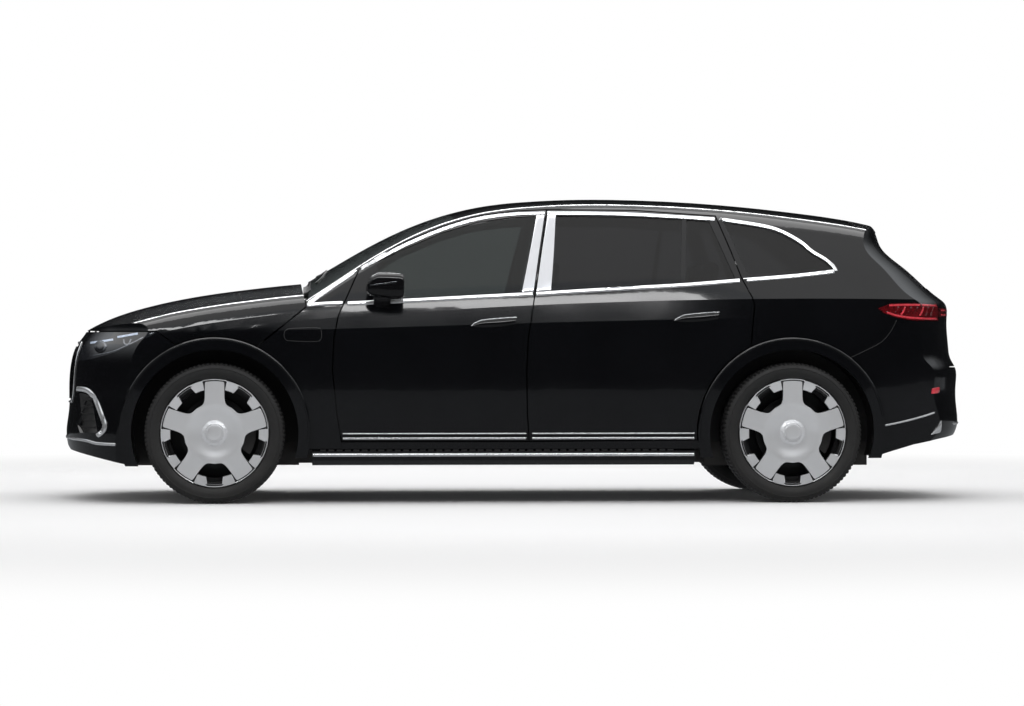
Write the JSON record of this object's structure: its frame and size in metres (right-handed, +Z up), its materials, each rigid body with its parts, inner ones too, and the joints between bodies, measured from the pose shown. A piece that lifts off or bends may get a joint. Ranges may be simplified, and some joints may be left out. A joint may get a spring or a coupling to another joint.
{
  "type": "electric luxury sport utility vehicle",
  "caption": "Large smooth-bodied electric sport utility vehicle with hinged doors, bonnet and tailgate, steered front wheels, spinning wheels and a fitted cabin.",
  "frame": {"origin": "on the ground, midway along the length, on the centre plane", "axes": "+X to the rear, +Y to the vehicle's right, +Z up"},
  "size_m": [5.1287, 2.158, 1.7181],
  "materials": {
    "paint": "gloss black clear coat",
    "gloss_black": "gloss black panel",
    "roof_glass": "gloss black roof panel",
    "black_plastic": "grained black",
    "glass": "lightly tinted",
    "tinted_glass": "dark privacy glass",
    "headlamp": "clear lens over dark reflector",
    "tail_lamp": "red lens",
    "underbody": "satin",
    "casing": "cast",
    "chassis": "black coated",
    "interior": "soft grain",
    "leather": "dark",
    "tyre": "matt rubber",
    "wheel": "satin machined"
  },
  "bodies": {
    "body": {"floor_pan": "underbody", "body_sides": "paint", "roof_panel": "roof_glass", "cowl_panel": "black_plastic", "front_bumper": "paint", "rear_bumper": "paint", "front_fenders": "paint", "windscreen": "glass", "quarter_glass": "tinted_glass", "headlamps": "headlamp", "tail_lamps": "tail_lamp", "grille": "gloss_black", "running_boards": "black_plastic", "arch_trims": "paint", "arch_liners": "black_plastic", "battery_pack": "casing", "drive_units": "casing", "front_subframe": "chassis", "rear_subframe": "chassis", "dashboard": "interior", "front_seats": "leather", "rear_seats": "leather"},
    "bonnet": {"bonnet": "paint"},
    "tailgate": {"tailgate": "paint", "rear_window": "tinted_glass", "tail_light_band": "tail_lamp"},
    "door_left_front": {"door_left_front": "paint", "glass_left_front": "glass", "mirror_left": "paint"},
    "door_left_rear": {"door_left_rear": "paint", "glass_left_rear": "tinted_glass"},
    "door_right_front": {"door_right_front": "paint", "glass_right_front": "glass", "mirror_right": "paint"},
    "door_right_rear": {"door_right_rear": "paint", "glass_right_rear": "tinted_glass"},
    "knuckle_left": {"knuckle_left": "chassis"},
    "wheel_left_front": {"wheel_left_front": "wheel", "tyre_left_front": "tyre"},
    "wheel_left_rear": {"wheel_left_rear": "wheel", "tyre_left_rear": "tyre"},
    "knuckle_right": {"knuckle_right": "chassis"},
    "wheel_right_front": {"wheel_right_front": "wheel", "tyre_right_front": "tyre"},
    "wheel_right_rear": {"wheel_right_rear": "wheel", "tyre_right_rear": "tyre"},
    "steering_wheel": {"steering_wheel": "leather"}
  },
  "joints": [
    {"name": "bonnet_hinge", "type": "hinge", "parent": "body", "child": "bonnet", "pos_m": [-1.1775, 0, 1.215], "axis": [0, 1, 0], "range_deg": [0, 45]},
    {"name": "tailgate_hinge", "type": "hinge", "parent": "body", "child": "tailgate", "pos_m": [1.9495, 0, 1.572], "axis": [0, -1, 0], "range_deg": [0, 75]},
    {"name": "door_left_front_hinge", "type": "hinge", "parent": "body", "child": "door_left_front", "pos_m": [-1.0045, -0.9495, 0.7], "axis": [0, 0, -1], "range_deg": [0, 70]},
    {"name": "door_left_rear_hinge", "type": "hinge", "parent": "body", "child": "door_left_rear", "pos_m": [0.0725, -0.9495, 0.7], "axis": [0, 0, -1], "range_deg": [0, 70]},
    {"name": "door_right_front_hinge", "type": "hinge", "parent": "body", "child": "door_right_front", "pos_m": [-1.0045, 0.9495, 0.7], "axis": [0, 0, 1], "range_deg": [0, 70]},
    {"name": "door_right_rear_hinge", "type": "hinge", "parent": "body", "child": "door_right_rear", "pos_m": [0.0725, 0.9495, 0.7], "axis": [0, 0, 1], "range_deg": [0, 70]},
    {"name": "steer_left", "type": "hinge", "parent": "body", "child": "knuckle_left", "pos_m": [-1.6975, -0.793, 0.39], "axis": [0, 0, 1], "range_deg": [-35, 35]},
    {"name": "spin_left_front", "type": "hinge", "parent": "knuckle_left", "child": "wheel_left_front", "pos_m": [-1.6975, -0.833, 0.39], "axis": [0, 1, 0], "continuous": true},
    {"name": "spin_left_rear", "type": "hinge", "parent": "body", "child": "wheel_left_rear", "pos_m": [1.5125, -0.84, 0.39], "axis": [0, 1, 0], "continuous": true},
    {"name": "steer_right", "type": "hinge", "parent": "body", "child": "knuckle_right", "pos_m": [-1.6975, 0.793, 0.39], "axis": [0, 0, 1], "range_deg": [-35, 35]},
    {"name": "spin_right_front", "type": "hinge", "parent": "knuckle_right", "child": "wheel_right_front", "pos_m": [-1.6975, 0.833, 0.39], "axis": [0, 1, 0], "continuous": true},
    {"name": "spin_right_rear", "type": "hinge", "parent": "body", "child": "wheel_right_rear", "pos_m": [1.5125, 0.84, 0.39], "axis": [0, 1, 0], "continuous": true},
    {"name": "steering_wheel_turn", "type": "hinge", "parent": "body", "child": "steering_wheel", "pos_m": [-0.6575, -0.37, 0.985], "axis": [0.922, 0, 0.3872], "range_deg": [-495, 495]}
  ],
  "couplings": [
    {"joint": "steer_right", "follows": "steer_left", "ratio": 1},
    {"joint": "steering_wheel_turn", "follows": "steer_left", "ratio": 14}
  ]
}
